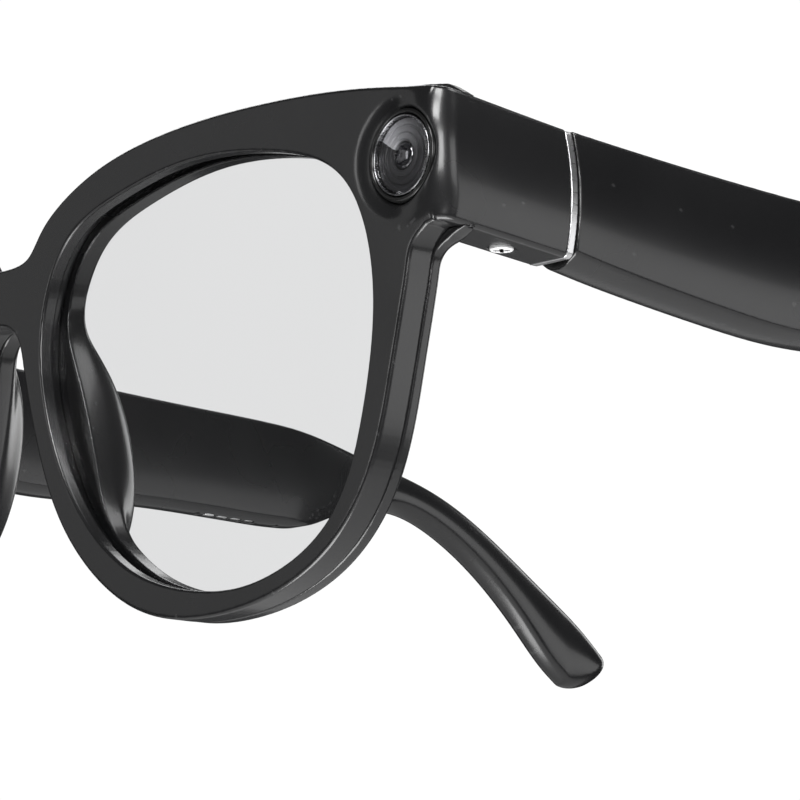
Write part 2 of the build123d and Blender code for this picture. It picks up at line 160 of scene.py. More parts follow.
CORNERS = [(i, j, k) for i in (0, 1) for j in (0, 1) for k in (0, 1)]
EDGES = [(a, b) for a in range(8) for b in range(a + 1, 8)
         if sum(p != q for p, q in zip(CORNERS[a], CORNERS[b])) == 1]


def steps(*spans):
    """Grid lines from (start, end, step) spans laid one after another."""
    lines = [np.arange(start, end - step / 2, step) for start, end, step in spans]
    return np.concatenate(lines + [[spans[-1][1]]])


def surface(field, axes):
    """Points and quads of the surface where a distance field on a grid is zero."""
    x = axes[0][:, None, None]
    y = axes[1][None, :, None]
    z = axes[2][None, None, :]
    values = np.broadcast_to(field(x, y, z), [len(a) for a in axes]).astype(np.float32)
    shape = [n - 1 for n in values.shape]

    def corner(offset, data):
        return data[tuple(slice(o, o + n) for o, n in zip(offset, shape))]

    inside = values < 0
    total = sum(corner(c, inside).astype(np.int8) for c in CORNERS)
    mixed = (total > 0) & (total < 8)
    place = np.argwhere(mixed)
    number = np.full(shape, -1, np.int32)
    number[mixed] = np.arange(len(place))
    samples = [values[tuple((place + c).T)] for c in np.array(CORNERS)]
    total_point = np.zeros((len(place), 3))
    crossings = np.zeros(len(place))
    for a, b in EDGES:
        va, vb = samples[a], samples[b]
        crossed = (va < 0) != (vb < 0)
        share = np.where(crossed, va / np.where(va == vb, 1, va - vb), 0)
        start = np.array(CORNERS[a])
        step = np.array(CORNERS[b]) - start
        point = start + share[:, None] * step
        total_point[crossed] += point[crossed]
        crossings += crossed
    where = place + total_point / crossings[:, None]
    points = np.stack([np.interp(where[:, k], np.arange(len(axes[k])), axes[k]) for k in range(3)], 1)
    quads = []
    for axis in range(3):
        one, two = (axis + 1) % 3, (axis + 2) % 3
        ahead = np.roll(inside, -1, axis)
        changed = inside != ahead
        keep = [slice(1, n) for n in shape]
        keep[axis] = slice(0, shape[axis])
        spots = np.argwhere(changed[tuple(keep)])
        spots = spots + np.array([0 if k == axis else 1 for k in range(3)])
        ring = []
        for shift_one, shift_two in ((0, 0), (1, 0), (1, 1), (0, 1)):
            cell_at = spots.copy()
            cell_at[:, one] -= shift_one
            cell_at[:, two] -= shift_two
            ring.append(number[tuple(cell_at.T)])
        ring = np.stack(ring, 1)
        leaving = inside[tuple(spots.T)]
        ring[~leaving] = ring[~leaving][:, ::-1]
        quads.append(ring[:, ::-1])
    quads = np.vstack(quads)
    return points, quads[(quads >= 0).all(1)]


def to_metres(points):
    return (np.asarray(points, float) + TO_ROW) / 1000


def on_hinge(points, right=False):
    """From the temple's own frame to the drawing frame."""
    x, y, z = np.asarray(points, float).T
    placed_x = AXIS_X + x * math.cos(SPLAY) + y * math.sin(SPLAY)
    placed_y = AXIS_Y - x * math.sin(SPLAY) + y * math.cos(SPLAY)
    return np.stack([-placed_x if right else placed_x, placed_y, z], 1)


def make_piece(name, points, faces, body, replaced, material, flip=False):
    """Mesh object in the row frame that rides on a body and stands for CAD nodes."""
    faces = [tuple(int(v) for v in face) for face in faces]
    if flip:
        faces = [face[::-1] for face in faces]
    mesh = bpy.data.meshes.new(name)
    mesh.from_pydata([tuple(p) for p in to_metres(points)], [], faces)
    mesh.validate()
    mesh.shade_smooth()
    piece = bpy.data.objects.new(name, mesh)
    bpy.context.scene.collection.objects.link(piece)
    mesh.materials.append(material)
    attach(piece, body)
    if replaced:
        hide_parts(*replaced)
    return piece


def lathe(profile, count=96, x=CAMERA_X, z=CAMERA_Z):
    """Turned piece about an axis along y, from (radius, y) pairs going once round its section."""
    angles = np.arange(count) * 2 * math.pi / count
    points = []
    for radius, y in profile:
        ring = np.stack([x + radius * np.cos(angles), np.full(count, y), z + radius * np.sin(angles)], 1)
        points.append(ring)
    faces = []
    rows = len(profile)
    for row in range(rows):
        next_row = (row + 1) % rows
        for i in range(count):
            j = (i + 1) % count
            faces.append((row * count + i, row * count + j, next_row * count + j, next_row * count + i))
    return np.vstack(points), faces


def rounded(corners, radius, steps=4):
    """Section outline with its corners turned into small arcs."""
    result = []
    corners = [np.array(c, float) for c in corners]
    for before, here, after in zip(corners[-1:] + corners[:-1], corners, corners[1:] + corners[:1]):
        reach = min(radius, 0.45 * np.linalg.norm(before - here), 0.45 * np.linalg.norm(after - here))
        start = here + (before - here) / np.linalg.norm(before - here) * reach
        end = here + (after - here) / np.linalg.norm(after - here) * reach
        for step in range(steps + 1):
            t = step / steps
            result.append(tuple((1 - t)**2 * start + 2 * t * (1 - t) * here + t**2 * end))
    return result


# ---------------------------------------------------------------- materials

def new_material(name):
    material = bpy.data.materials.new(name)
    material.use_nodes = True
    nodes = material.node_tree.nodes
    return material, nodes, material.node_tree.links, nodes["Principled BSDF"]


def noise(nodes, links, scale, detail=4.0, stretch=(1, 1, 1)):
    """Object-space noise, stretched along an axis for brushed metal."""
    place = nodes.new("ShaderNodeTexCoord")
    mapping = nodes.new("ShaderNodeMapping")
    mapping.inputs["Scale"].default_value = stretch
    texture = nodes.new("ShaderNodeTexNoise")
    texture.inputs["Scale"].default_value = scale
    texture.inputs["Detail"].default_value = detail
    links.new(place.outputs["Object"], mapping.inputs["Vector"])
    links.new(mapping.outputs["Vector"], texture.inputs["Vector"])
    return texture


def span(nodes, links, source, low, high):
    """Noise factor mapped between two values."""
    mapped = nodes.new("ShaderNodeMapRange")
    mapped.inputs["From Min"].default_value = 0.3
    mapped.inputs["From Max"].default_value = 0.7
    mapped.inputs["To Min"].default_value = low
    mapped.inputs["To Max"].default_value = high
    links.new(source, mapped.inputs["Value"])
    return mapped.outputs["Result"]


def tint(nodes, links, source, dark, light):
    """Noise factor turned into a colour between two colours."""
    mix = nodes.new("ShaderNodeMix")
    mix.data_type = "RGBA"
    mix.inputs["A"].default_value = (*dark, 1)
    mix.inputs["B"].default_value = (*light, 1)
    links.new(source, mix.inputs["Factor"])
    return mix.outputs["Result"]


def plastic(name, dark, light, rough_low, rough_high, bump=0.02, coat=0.0, ior=1.5):
    """Moulded plastic: fine grain, slow changes of gloss, and a painted highlight that lightens the colour
    along convex edges.
    """
    material, nodes, links, shader = new_material(name)
    slow = noise(nodes, links, 60, 3)
    grain = noise(nodes, links, 3500, 2)
    # painted highlight: the base colour turns lighter where the surface is most convex, along the edges
    edge = nodes.new("ShaderNodeNewGeometry")
    painted_edge_highlight = nodes.new("ShaderNodeMapRange")
    painted_edge_highlight.inputs["From Min"].default_value = 0.53
    painted_edge_highlight.inputs["From Max"].default_value = 0.62
    links.new(edge.outputs["Pointiness"], painted_edge_highlight.inputs["Value"])
    base = tint(nodes, links, slow.outputs["Fac"], dark, light)
    edge_mix = nodes.new("ShaderNodeMix")
    edge_mix.data_type = "RGBA"
    edge_mix.inputs["B"].default_value = (*[c * 1.8 + 0.01 for c in light], 1)
    links.new(painted_edge_highlight.outputs["Result"], edge_mix.inputs["Factor"])
    links.new(base, edge_mix.inputs["A"])
    links.new(edge_mix.outputs["Result"], shader.inputs["Base Color"])
    links.new(span(nodes, links, slow.outputs["Fac"], rough_low, rough_high), shader.inputs["Roughness"])
    shader.inputs["Coat Weight"].default_value = coat
    shader.inputs["Coat Roughness"].default_value = 0.12
    shader.inputs["IOR"].default_value = ior
    height = nodes.new("ShaderNodeBump")
    height.inputs["Strength"].default_value = bump
    height.inputs["Distance"].default_value = 0.0001
    links.new(grain.outputs["Fac"], height.inputs["Height"])
    links.new(height.outputs["Normal"], shader.inputs["Normal"])
    return material


def metal(name, dark, light, rough_low, rough_high, stretch=(1, 1, 1), scale=900, metallic=1.0, bump=0.05):
    """Metal with fine brushing along the stretched axis."""
    material, nodes, links, shader = new_material(name)
    brush = noise(nodes, links, scale, 5, stretch)
    colour = tint(nodes, links, brush.outputs["Fac"], dark, light)
    links.new(colour, shader.inputs["Base Color"])
    shader.inputs["Metallic"].default_value = metallic
    links.new(span(nodes, links, brush.outputs["Fac"], rough_low, rough_high), shader.inputs["Roughness"])
    height = nodes.new("ShaderNodeBump")
    height.inputs["Strength"].default_value = bump
    height.inputs["Distance"].default_value = 0.0001
    links.new(brush.outputs["Fac"], height.inputs["Height"])
    links.new(height.outputs["Normal"], shader.inputs["Normal"])
    return material


def maths_on(nodes, links):
    """Function that adds one Math node fed by numbers or by other sockets."""
    def maths(operation, first, second=0.0):
        node = nodes.new("ShaderNodeMath")
        node.operation = operation
        for socket, value in zip(node.inputs, (first, second)):
            if isinstance(value, float):
                socket.default_value = value
            else:
                links.new(value, socket)
        return node.outputs["Value"]

    return maths


def blend_colour(material, mask, colour):
    """Lay a second colour over the material's own where the mask is one."""
    nodes, links = material.node_tree.nodes, material.node_tree.links
    mix = nodes.new("ShaderNodeMix")
    mix.data_type = "RGBA"
    mix.inputs["B"].default_value = colour
    shader = nodes["Principled BSDF"]
    links.new(shader.inputs["Base Color"].links[0].from_socket, mix.inputs["A"])
    links.new(mask, mix.inputs["Factor"])
    links.new(mix.outputs["Result"], shader.inputs["Base Color"])
    return material


def object_axes(nodes, links):
    """The point's place in the row frame, in metres, as three sockets."""
    place = nodes.new("ShaderNodeTexCoord")
    axes = nodes.new("ShaderNodeSeparateXYZ")
    links.new(place.outputs["Object"], axes.inputs["Vector"])
    return axes.outputs["X"], axes.outputs["Y"], axes.outputs["Z"]


def painted_reflection_wedge(material):
    """Painted reflection on the camera's tube: a pale wedge with a sharp upper-left edge, fading round to
    the side.
    """
    nodes, links = material.node_tree.nodes, material.node_tree.links
    maths = maths_on(nodes, links)
    x, _, z = object_axes(nodes, links)
    across = maths("SUBTRACT", x, CAMERA_X / 1000)
    above = maths("SUBTRACT", z, (CAMERA_Z + TO_ROW[2]) / 1000)
    angle = maths("ARCTAN2", above, across)
    before_edge = maths("LESS_THAN", angle, WEDGE_EDGE)
    climb = maths("MAXIMUM", maths("DIVIDE", angle, WEDGE_EDGE), 0.0)
    mask = maths("MULTIPLY", before_edge, maths("POWER", climb, 1.4))
    # pale colour of the painted reflection, strongest next to its sharp edge
    return blend_colour(material, mask, (0.85, 0.85, 0.86, 1))


def painted_recess_shade(material):
    """Painted shade: darken a cross on the screw heads where the recess lies in shadow; the heads stand on
    the two hinge axes.
    """
    nodes, links = material.node_tree.nodes, material.node_tree.links
    maths = maths_on(nodes, links)
    x, y, _ = object_axes(nodes, links)
    across = maths("SUBTRACT", maths("ABSOLUTE", x), AXIS_X / 1000)
    along = maths("SUBTRACT", y, (AXIS_Y + TO_ROW[1]) / 1000)
    arm_one = maths("ABSOLUTE", maths("ADD", across, along))
    arm_two = maths("ABSOLUTE", maths("SUBTRACT", across, along))
    half_width, reach = 0.0003, 0.0013
    on_arm = maths("LESS_THAN", maths("MINIMUM", arm_one, arm_two), half_width)
    in_reach = maths("LESS_THAN", maths("MAXIMUM", arm_one, arm_two), reach)
    mask = maths("MULTIPLY", on_arm, in_reach)
    # near-black colour of the painted shade in the cross recess
    return blend_colour(material, mask, (0.02, 0.02, 0.02, 1))


def thin_glass(name, tint_dark, tint_light, gloss_roughness, reflect):
    """Thin lens: tinted see-through body with a reflection that grows at glancing angles."""
    material, nodes, links, shader = new_material(name)
    nodes.remove(shader)
    smear = noise(nodes, links, 45, 3)
    see_through = nodes.new("ShaderNodeBsdfTransparent")
    links.new(tint(nodes, links, smear.outputs["Fac"], tint_dark, tint_light), see_through.inputs["Color"])
    gloss = nodes.new("ShaderNodeBsdfGlossy")
    low, high = gloss_roughness
    links.new(span(nodes, links, smear.outputs["Fac"], low, high), gloss.inputs["Roughness"])
    glance = nodes.new("ShaderNodeLayerWeight")
    glance.inputs["Blend"].default_value = 0.5
    steep = nodes.new("ShaderNodeMath")
    steep.operation = "POWER"
    steep.inputs[1].default_value = 4.0
    share = nodes.new("ShaderNodeMath")
    share.operation = "MULTIPLY_ADD"
    share.inputs[1].default_value = 0.8
    share.inputs[2].default_value = reflect
    links.new(glance.outputs["Facing"], steep.inputs[0])
    links.new(steep.outputs["Value"], share.inputs[0])
    mix = nodes.new("ShaderNodeMixShader")
    links.new(share.outputs["Value"], mix.inputs["Fac"])
    links.new(see_through.outputs["BSDF"], mix.inputs[1])
    links.new(gloss.outputs["BSDF"], mix.inputs[2])
    links.new(mix.outputs["Shader"], nodes["Material Output"].inputs["Surface"])
    return material


FRAME_BLACK = plastic("frame black", (0.009, 0.009, 0.0095), (0.013, 0.013, 0.0135), 0.23, 0.29, coat=0.3)
TEMPLE_BLACK = plastic("temple black", (0.007, 0.007, 0.0075), (0.01, 0.01, 0.0105), 0.23, 0.29, coat=0.3)
DARK = plastic("camera black", (0.006, 0.006, 0.006), (0.012, 0.012, 0.012), 0.18, 0.28)
MATTE = plastic("inner black", (0.01, 0.01, 0.01), (0.018, 0.018, 0.018), 0.5, 0.65)
KEY = plastic("key black", (0.02, 0.02, 0.021), (0.03, 0.03, 0.031), 0.4, 0.5)
BOARD = plastic("board green", (0.01, 0.06, 0.03), (0.02, 0.1, 0.05), 0.35, 0.5)
FOIL = metal("battery foil", (0.5, 0.51, 0.53), (0.68, 0.69, 0.7), 0.3, 0.45)
# painted shade: a darker copy of the ring metal on the next line, for the trim ring round the camera
SHADED_RING = metal("dark ring metal", (0.3, 0.3, 0.31), (0.4, 0.4, 0.41), 0.22, 0.3, (1, 1, 14),
                  400, 1.0, 0.01)
RING = metal("ring metal", (0.66, 0.66, 0.67), (0.82, 0.82, 0.83), 0.26, 0.34, (1, 1, 14), 400, 1.0, 0.01)
# screw heads: near-white and barely metallic, partly the pale steel's own tone and partly a painted
# reflection standing in for their bright glint; the dark cross is painted shade
SCREW = painted_recess_shade(metal("screw metal", (0.85, 0.85, 0.86), (0.93, 0.93, 0.93), 0.45, 0.55, (1, 1, 1),
                           1500, 0.1, 0.02))
STEEL = metal("hinge steel", (0.45, 0.45, 0.46), (0.62, 0.62, 0.63), 0.28, 0.4, (1, 8, 1), 700)
MESH = metal("mesh metal", (0.45, 0.45, 0.45), (0.85, 0.85, 0.85), 0.3, 0.4, (1, 1, 1), 5000, 0.3, 0.3)
GOLD = metal("contact gold", (0.75, 0.55, 0.24), (0.9, 0.7, 0.35), 0.2, 0.3)
COPPER = metal("copper film", (0.55, 0.3, 0.16), (0.7, 0.42, 0.25), 0.3, 0.4)
# camera tube metal with a pale wedge of painted reflection laid over its colour
TUBE = painted_reflection_wedge(metal("camera tube", (0.03, 0.03, 0.032), (0.05, 0.05, 0.052), 0.2, 0.28, (1, 1, 1),
                           300, 0.3, 0.0))
LENS = thin_glass("lens clear", (0.855, 0.857, 0.859), (0.863, 0.865, 0.867), (0.0, 0.02), 0.0)
COVER = thin_glass("camera glass", (0.84, 0.84, 0.85), (0.88, 0.88, 0.89), (0.01, 0.03), 0.02)
LENS_GLASS = plastic("small lens", (0.004, 0.004, 0.006), (0.01, 0.01, 0.014), 0.04, 0.07, 0.0, 1.0, 2.6)

CAD_LOOKS = {
    "hinge_block_left": STEEL, "hinge_block_right": STEEL,
    "hinge_tongue_left": STEEL, "hinge_tongue_right": STEEL,
    "tongue_screws_left": STEEL, "tongue_screws_right": STEEL,
    "core_wire_left": STEEL, "core_wire_right": STEEL,
    "hinge_screw_left": SCREW, "hinge_screw_right": SCREW,
    "end_plug_left": MATTE, "end_plug_right": MATTE,
    "speaker_left": MATTE, "speaker_right": MATTE,
    "microphone_left": MATTE, "microphone_right": MATTE,
    "slider_switch": MATTE, "button_switch": MATTE,
    "camera_board": BOARD, "light_board": BOARD, "main_board": BOARD,
    "shield_can": FOIL, "battery": FOIL, "touch_strip": COPPER,
    "power_slider": KEY, "capture_button": KEY, "charging_contacts": GOLD,
}


def dress_cad_nodes():
    for name, material in CAD_LOOKS.items():
        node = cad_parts[name]
        node.data.materials.clear()
        node.data.materials.append(material)


# ---------------------------------------------------------------- front

def front_outline():
    """Both rims and the bridge in x and z, once round."""
    brow = smooth_curve([(0, -8.85), (3.4, -8.75), (5.7, -7.9), (8.2, -5.0), (15.1, -0.8), (25.0, 1.9),
                         (40.0, 3.1), (56.0, 2.65), (64.0, 1.75), (71.0, 0.7)])
    rim = smooth_curve([(69.9, -14.3), (68.1, -16.0), (67.3, -19.0), (65.3, -28.3), (61.7, -40.2),
                        (53.3, -49.2), (38.6, -53.1), (24.7, -50.8), (14.0, -42.4), (8.4, -32.5),
                        (5.0, -21.5), (4.0, -18.0), (2.2, -16.0), (0, -15.5)])
    half = np.vstack([brow, [(71.0, -14.0)], rim])
    other = half[::-1] * (-1, 1)
    return np.vstack([half, other])


def opening_outline():
    return smooth_curve([(8.35, -17.0), (12.3, -7.7), (21.3, -3.5), (34.2, -1.45), (48.5, -2.95),
                         (57.8, -7.4), (62.1, -18.5), (61.0, -32.0), (55.8, -44.3), (45.4, -49.8),
                         (36.2, -50.1), (24.5, -46.6), (14.5, -37.5), (9.4, -26.5)], closed=True)


def face_base(x):
    return -FACE_SAG * (1 - (x / HALF_WIDTH)**2)


def face_y(x, z):
    """Front surface: curved across, dished inside the camera and swelling up outside it."""
    across = x - CAMERA_X
    up = z - CAMERA_Z
    radius = np.hypot(across, up)
    outer_side = ramp(-0.5, 0.9, across / np.maximum(radius, 0.1))
    dish = 0.55 * ramp(7.3, 5.1, radius) * (1 - 0.85 * outer_side)
    swell = 1.05 * ramp(8.4, 5.2, radius) * outer_side
    return face_base(x) + dish - swell


def back_y(x):
    return BACK_APEX + x**2 / (2 * BACK_RADIUS)


def endpiece_field(x, y, z):
    face = face_y(x, z) - y
    top = 0.55 - 0.11 * y + 0.115 * (73.2 - x) * (1 - ramp(0, 18, y))
    bottom = -13.8 - 0.099 * y
    middle = (top + bottom) / 2
    crown = 0.95 * ((z - middle) / 7.0)**2
    side = x - (73.2 + 0.011 * y - crown)
    solid = both(side, face, 2.2)
    solid = both(solid, z - top, 0.4)
    solid = both(solid, bottom - z, 0.5)
    solid = both(solid, 66.0 + 0.02 * y - x, 0.6)
    return both(solid, y - ENDPIECE_REAR, 0.08)


def front_field(x, y, z):
    """Front moulding of one half: rim and bridge, endpiece and the housing behind the corner."""
    outer = outline_distance(front_outline(), x, z)
    opening = outline_distance(opening_outline(), x, z)
    base = face_base(x)
    solid = both(outer, face_y(x, z) - y, 0.4)
    solid = both(solid, y - base - SHELL_DEPTH, 0.25)
    housing = block(x, y, z, (61.3, 0, -11.9), (68.0, 6.6, -1.2)) - 1.0
    solid = np.minimum(solid, endpiece_field(x, y, z))
    solid = melt(solid, np.maximum(housing, base + 1.5 - y), 0.6)
    solid = cut(solid, opening, 0.35)
    groove = both(opening - GROOVE, base + LIP_DEPTH - y, 0.2)
    solid = cut(solid, both(groove, x - 66.0, 0.2), 0.25)
    radius = np.hypot(x - CAMERA_X, z - CAMERA_Z)
    solid = cut(solid, both(radius - CAMERA_WELL, y - 2.6, 0.2), 0.25)
    hinge_room = block(x, y, z, (AXIS_X - 10, AXIS_Y - 2.4, -11.0), (AXIS_X + 2.3, AXIS_Y + 9, -5.8))
    solid = cut(solid, hinge_room, 0.25)
    screw_radius = np.hypot(x - AXIS_X, y - AXIS_Y)
    screw_hole = both(screw_radius - 1.36, z + 14.4, 0.2)
    return cut(solid, screw_hole, 0.15)


def saddle_field(x, y, z):
    """Nose pad: a long low ridge leaning with the rim."""
    lean = math.radians(15)
    across = (x - 10.6) * math.cos(lean) + (z + 30.0) * math.sin(lean)
    along = -(x - 10.6) * math.sin(lean) + (z + 30.0) * math.cos(lean)
    back = y - 2.0
    near = np.sqrt((across / 2.9)**2 + (along / 13.0)**2 + (back / 5.2)**2)
    slope = np.sqrt((across / 2.9**2)**2 + (along / 13.0**2)**2 + (back / 5.2**2)**2)
    return near * (near - 1) / np.maximum(slope, 1e-6)


def back_field(x, y, z):
    """Rear moulding of one half with its nose saddle."""
    outer = outline_distance(front_outline(), x, z)
    opening = outline_distance(opening_outline(), x, z)
    split = face_base(x) + SHELL_DEPTH
    plate = both(outer + 0.03, y - back_y(x), 0.7)
    plate = both(plate, x - 69.6, 0.3)
    block_above = endpiece_field(x, y, z)
    plate = melt(plate, np.maximum(block_above, y - back_y(x)), 4.0)
    plate = np.maximum(plate, -block_above)
    plate = cut(plate, opening, 0.5)
    plate = melt(plate, saddle_field(x, y, z), 3.6)
    return both(plate, split + 0.02 - y, 0.2)


def mirrored_half(name, field, axes, replaced, material):
    """Mesh of the left half completed by a mirror at the middle plane."""
    points, quads = surface(field, axes)
    piece = make_piece(name, points, quads, "front", replaced, material)
    mirror = piece.modifiers.new("other half", "MIRROR")
    mirror.use_axis = (True, False, False)
    mirror.merge_threshold = 0.00003
    return piece


def make_front():
    across = steps((-CELL / 2, 60.0, CELL), (60.0, 74.2, 0.13))
    upright = steps((-53.8, -16.0, CELL), (-16.0, 4.0, 0.15))
    depth = steps((-4.9, 2.0, 0.13), (2.0, 17.0, CELL), (17.0, 19.0, 0.1))
    mirrored_half("front_moulding", front_field, (across, depth, upright),
                  ["front_frame"], FRAME_BLACK)
    depth = steps((-1.4, 9.0, 0.16))
    mirrored_half("rear_moulding", back_field, (across, depth, upright),
                  ["back_frame"], FRAME_BLACK)


def make_lens(side, right):
    """Curved lens with its edge in the groove."""
    outline = opening_outline()
    centre = np.array([35.2, -25.6])
    grow = 1 + (GROOVE - 0.05) / 26.0
    edge = centre + (outline - centre) * grow
    rings = 20
    count = len(edge)
    points = []
    for depth in (LIP_DEPTH + 0.06, LIP_DEPTH + 0.06 + LENS_THICKNESS):
        for ring in range(rings + 1):
            flat = centre + (edge - centre) * ring / rings
            y = face_base(flat[:, 0]) + depth
            points.append(np.stack([flat[:, 0], y, flat[:, 1]], 1))
    points = np.vstack(points)
    if right:
        points = points * (-1, 1, 1)
    faces = []
    layer = (rings + 1) * count
    for ring in range(rings):
        for i in range(count):
            j = (i + 1) % count
            a, b = ring * count + i, ring * count + j
            c, d = a + count, b + count
            faces.append((a, c, d, b))
            faces.append((layer + a, layer + b, layer + d, layer + c))
    for i in range(count):
        j = (i + 1) % count
        a, b = rings * count + i, rings * count + j
        faces.append((a, layer + a, layer + b, b))
    piece = make_piece(f"lens_{side}_glass", points, faces, "front", [f"lens_{side}"],
                       LENS, flip=right)
    split = piece.modifiers.new("crisp edge", "EDGE_SPLIT")
    split.split_angle = math.radians(50)


# ---------------------------------------------------------------- camera and status light

def turned(name, profile, replaced, material, right=False, corner=0.0):
    section = rounded(profile, corner) if corner else profile
    points, faces = lathe(section)
    if right:
        points = points * (-1, 1, 1)
    return make_piece(name, points, faces, "front", replaced, material, flip=right)


def make_module(label, right):
    """Bezel, trim ring and cover glass: one shape in both corners; round the camera the ring is a darker
    copy of the ring metal, painted shade.
    """
    bezel = [(5.15, -0.5), (5.0, -0.95), (4.75, -1.08), (4.55, -0.9), (4.5, 1.1), (4.2, 1.2),
             (4.2, 2.55), (5.15, 2.55)]
    turned(f"{label}_collar", bezel, [f"{label}_bezel"], DARK, right, 0.12)
    ring = [(4.42, 1.1), (4.42, -0.95), (4.34, -1.02), (4.25, -0.95), (4.2, 1.1)]
    # the camera's ring takes the darker copy of the ring metal, painted shade
    ring_look = RING if right else SHADED_RING
    turned(f"{label}_ring", ring, [f"{label}_trim_ring"], ring_look, right, 0.08)
    glass = [(0.001, -1.0), (1.5, -0.99), (2.9, -0.95), (3.7, -0.89), (4.05, -0.83), (4.18, -0.76),
             (4.18, -0.7), (0.001, -0.9)]
    node = "camera_cover_glass" if label == "camera" else "light_window"
    turned(f"{label}_glass", glass, [node], COVER, right)


def make_camera_inside():
    """Stepped barrel seen through the glass, and the domed front lens."""
    barrel = [(3.6, 5.0), (4.1, 1.0), (4.12, -0.4), (4.05, -0.46),
              (3.45, -0.54), (3.38, -0.4), (3.2, -0.42), (3.15, -0.58),
              (2.6, -0.66), (2.52, -0.5), (2.34, -0.52), (2.3, -0.7),
              (1.8, -0.77), (1.72, -0.6), (1.6, -0.6), (1.57, -0.4), (1.57, 5.0)]
    turned("camera_tube", barrel, ["camera_barrel"], TUBE, corner=0.03)
    dome = [(0.001, -0.93), (0.4, -0.91), (0.8, -0.84), (1.15, -0.73), (1.4, -0.58),
            (1.5, -0.3), (1.52, 3.0), (0.001, 3.0)]
    turned("camera_front_lens", dome, ["camera_lens"], LENS_GLASS)


# ---------------------------------------------------------------- trim rings

def section_field(x, z):
    """Cross-section at the rear end of the endpiece."""
    middle = -8.75
    crown = 0.95 * ((z - middle) / 6.9)**2
    solid = both(x - (73.4 - crown), z + 1.45, 0.5)
    solid = both(solid, -15.65 - z, 0.6)
    return both(solid, 66.4 - x, 0.6)


def ring_field(x, y, z):
    section = section_field(x, z)
    band = both(section, -(section + 0.6), 0.1)
    band = both(band, ENDPIECE_REAR + 0.03 - y, 0.06)
    band = both(band, y - ENDPIECE_REAR - RING_WIDTH, 0.06)
    room = block(x, y, z, (AXIS_X - 10, 9.5, -11.0), (AXIS_X + 2.3, 21, -5.8))
    return cut(band, room, 0.1)


def make_rings():
    axes = (steps((66.0, 73.8, 0.1)), steps((17.7, 19.1, 0.07)), steps((-16.0, -1.2, 0.1)))
    points, quads = surface(ring_field, axes)
    make_piece("ring_left", points, quads, "front", ["trim_ring_left"], RING)
    make_piece("ring_right", points * (-1, 1, 1), quads, "front", ["trim_ring_right"],
               RING, flip=True)


# ---------------------------------------------------------------- temples

TOP_EDGE = [(7.3, -1.45), (15.0, -2.1), (31.0, -3.25), (49.0, -4.2), (67.0, -4.95), (82.0, -5.45),
            (92.5, -6.2), (103.0, -7.5), (112.5, -9.15), (121.4, -11.8), (130.5, -16.3),
            (140.5, -22.4), (148.8, -27.8), (152.6, -31.0)]
TIP = [(153.9, -33.3), (152.7, -35.6), (149.5, -37.5)]
BOTTOM_EDGE = [(7.3, -16.3), (14.5, -17.5), (30.0, -19.5), (40.0, -20.4), (48.0, -20.4), (60.0, -19.9),
               (72.0, -19.9), (82.0, -20.1), (88.5, -19.95), (93.5, -18.9), (98.5, -17.1), (104.0, -15.75),
               (111.0, -15.3), (118.0, -17.1), (126.8, -21.9), (135.5, -29.0), (141.4, -34.8),
               (145.3, -37.7)]


def temple_outline():
    """Side view of the temple along and up."""
    tip_side = smooth_curve(TOP_EDGE + TIP + BOTTOM_EDGE[:-4:-1])
    top = smooth_curve(TOP_EDGE)
    bottom = smooth_curve(BOTTOM_EDGE)
    middle = tip_side[(len(TOP_EDGE) - 1) * 14:(len(TOP_EDGE) + 3) * 14]
    return np.vstack([top[:-1], middle, bottom[::-1]])


def temple_field(holes):
    """Distance field of a temple, with the given windows and holes cut in it.

    slim goes from 0 in the wide part to 1 in the ear end, which is thinner and rounder, and the
    underside of the wide part falls from both faces to a low ridge at KEEL_X.
    """
    outline = temple_outline()
    top = smooth_curve(TOP_EDGE)
    bottom = smooth_curve(BOTTOM_EDGE)

    def field(x, y, z):
        side_view = outline_distance(outline, y, z)
        upper = np.interp(y, top[:, 0], top[:, 1])
        lower = np.interp(y, bottom[:, 0], bottom[:, 1])
        middle = (upper + lower) / 2
        half = (upper - lower) / 2
        crown = 0.14 * half * ((z - middle) / half)**2
        outer_side = x - (TEMPLE_OUTER - np.minimum(crown, 1.6))
        slim = ramp(86, 112, y)
        level = np.clip((z - middle) / half, -1.1, 1.1)
        inner = TEMPLE_INNER + 2.6 * slim + (0.5 + 0.7 * slim) * level**2
        off_keel = x - KEEL_X
        rise = np.where(off_keel > 0, 1.6 * (off_keel / 3.9)**2, 1.5 * (off_keel / 2.7)**2)
        keel = lower + rise * (1 - slim) - z - 4.0 * slim
        solid = both(outer_side, side_view, 0.3 + 1.6 * slim)
        solid = both(solid, inner - x, 0.5 + 1.3 * slim)
        solid = both(solid, keel, 0.25)
        solid = both(solid, TEMPLE_START - y, 0.06)
        solid = cut(solid, np.hypot(x, y) - SWING_RADIUS, 0.06)
        for shape in holes(x, y, z):
            solid = cut(solid, shape, 0.15)
        return solid

    return field


def pill(x, y, centre_x, centre_y, length, width):
    """Distance from an upright pill-shaped hole lying along the temple."""
    reach = length / 2 - width / 2
    along = np.maximum(np.abs(y - centre_y) - reach, 0)
    return np.hypot(x - centre_x, along) - width / 2


def slot_centres():
    return [FIRST_SLOT + SLOT_PITCH * number for number in range(SLOT_COUNT)]


def speaker_holes(x, y, z):
    """Speaker slots with a small microphone hole before and after them."""
    shapes = []
    for centre in slot_centres():
        slot_shape = pill(x, y, SLOT_X, centre, SLOT_LENGTH, SLOT_WIDTH)
        shapes.append(np.maximum(slot_shape, z + 18.9))
    for centre in (71.7, 86.3):
        shapes.append(np.maximum(pill(x, y, SLOT_X, centre, 0.7, 0.69), z + 18.6))
    return shapes


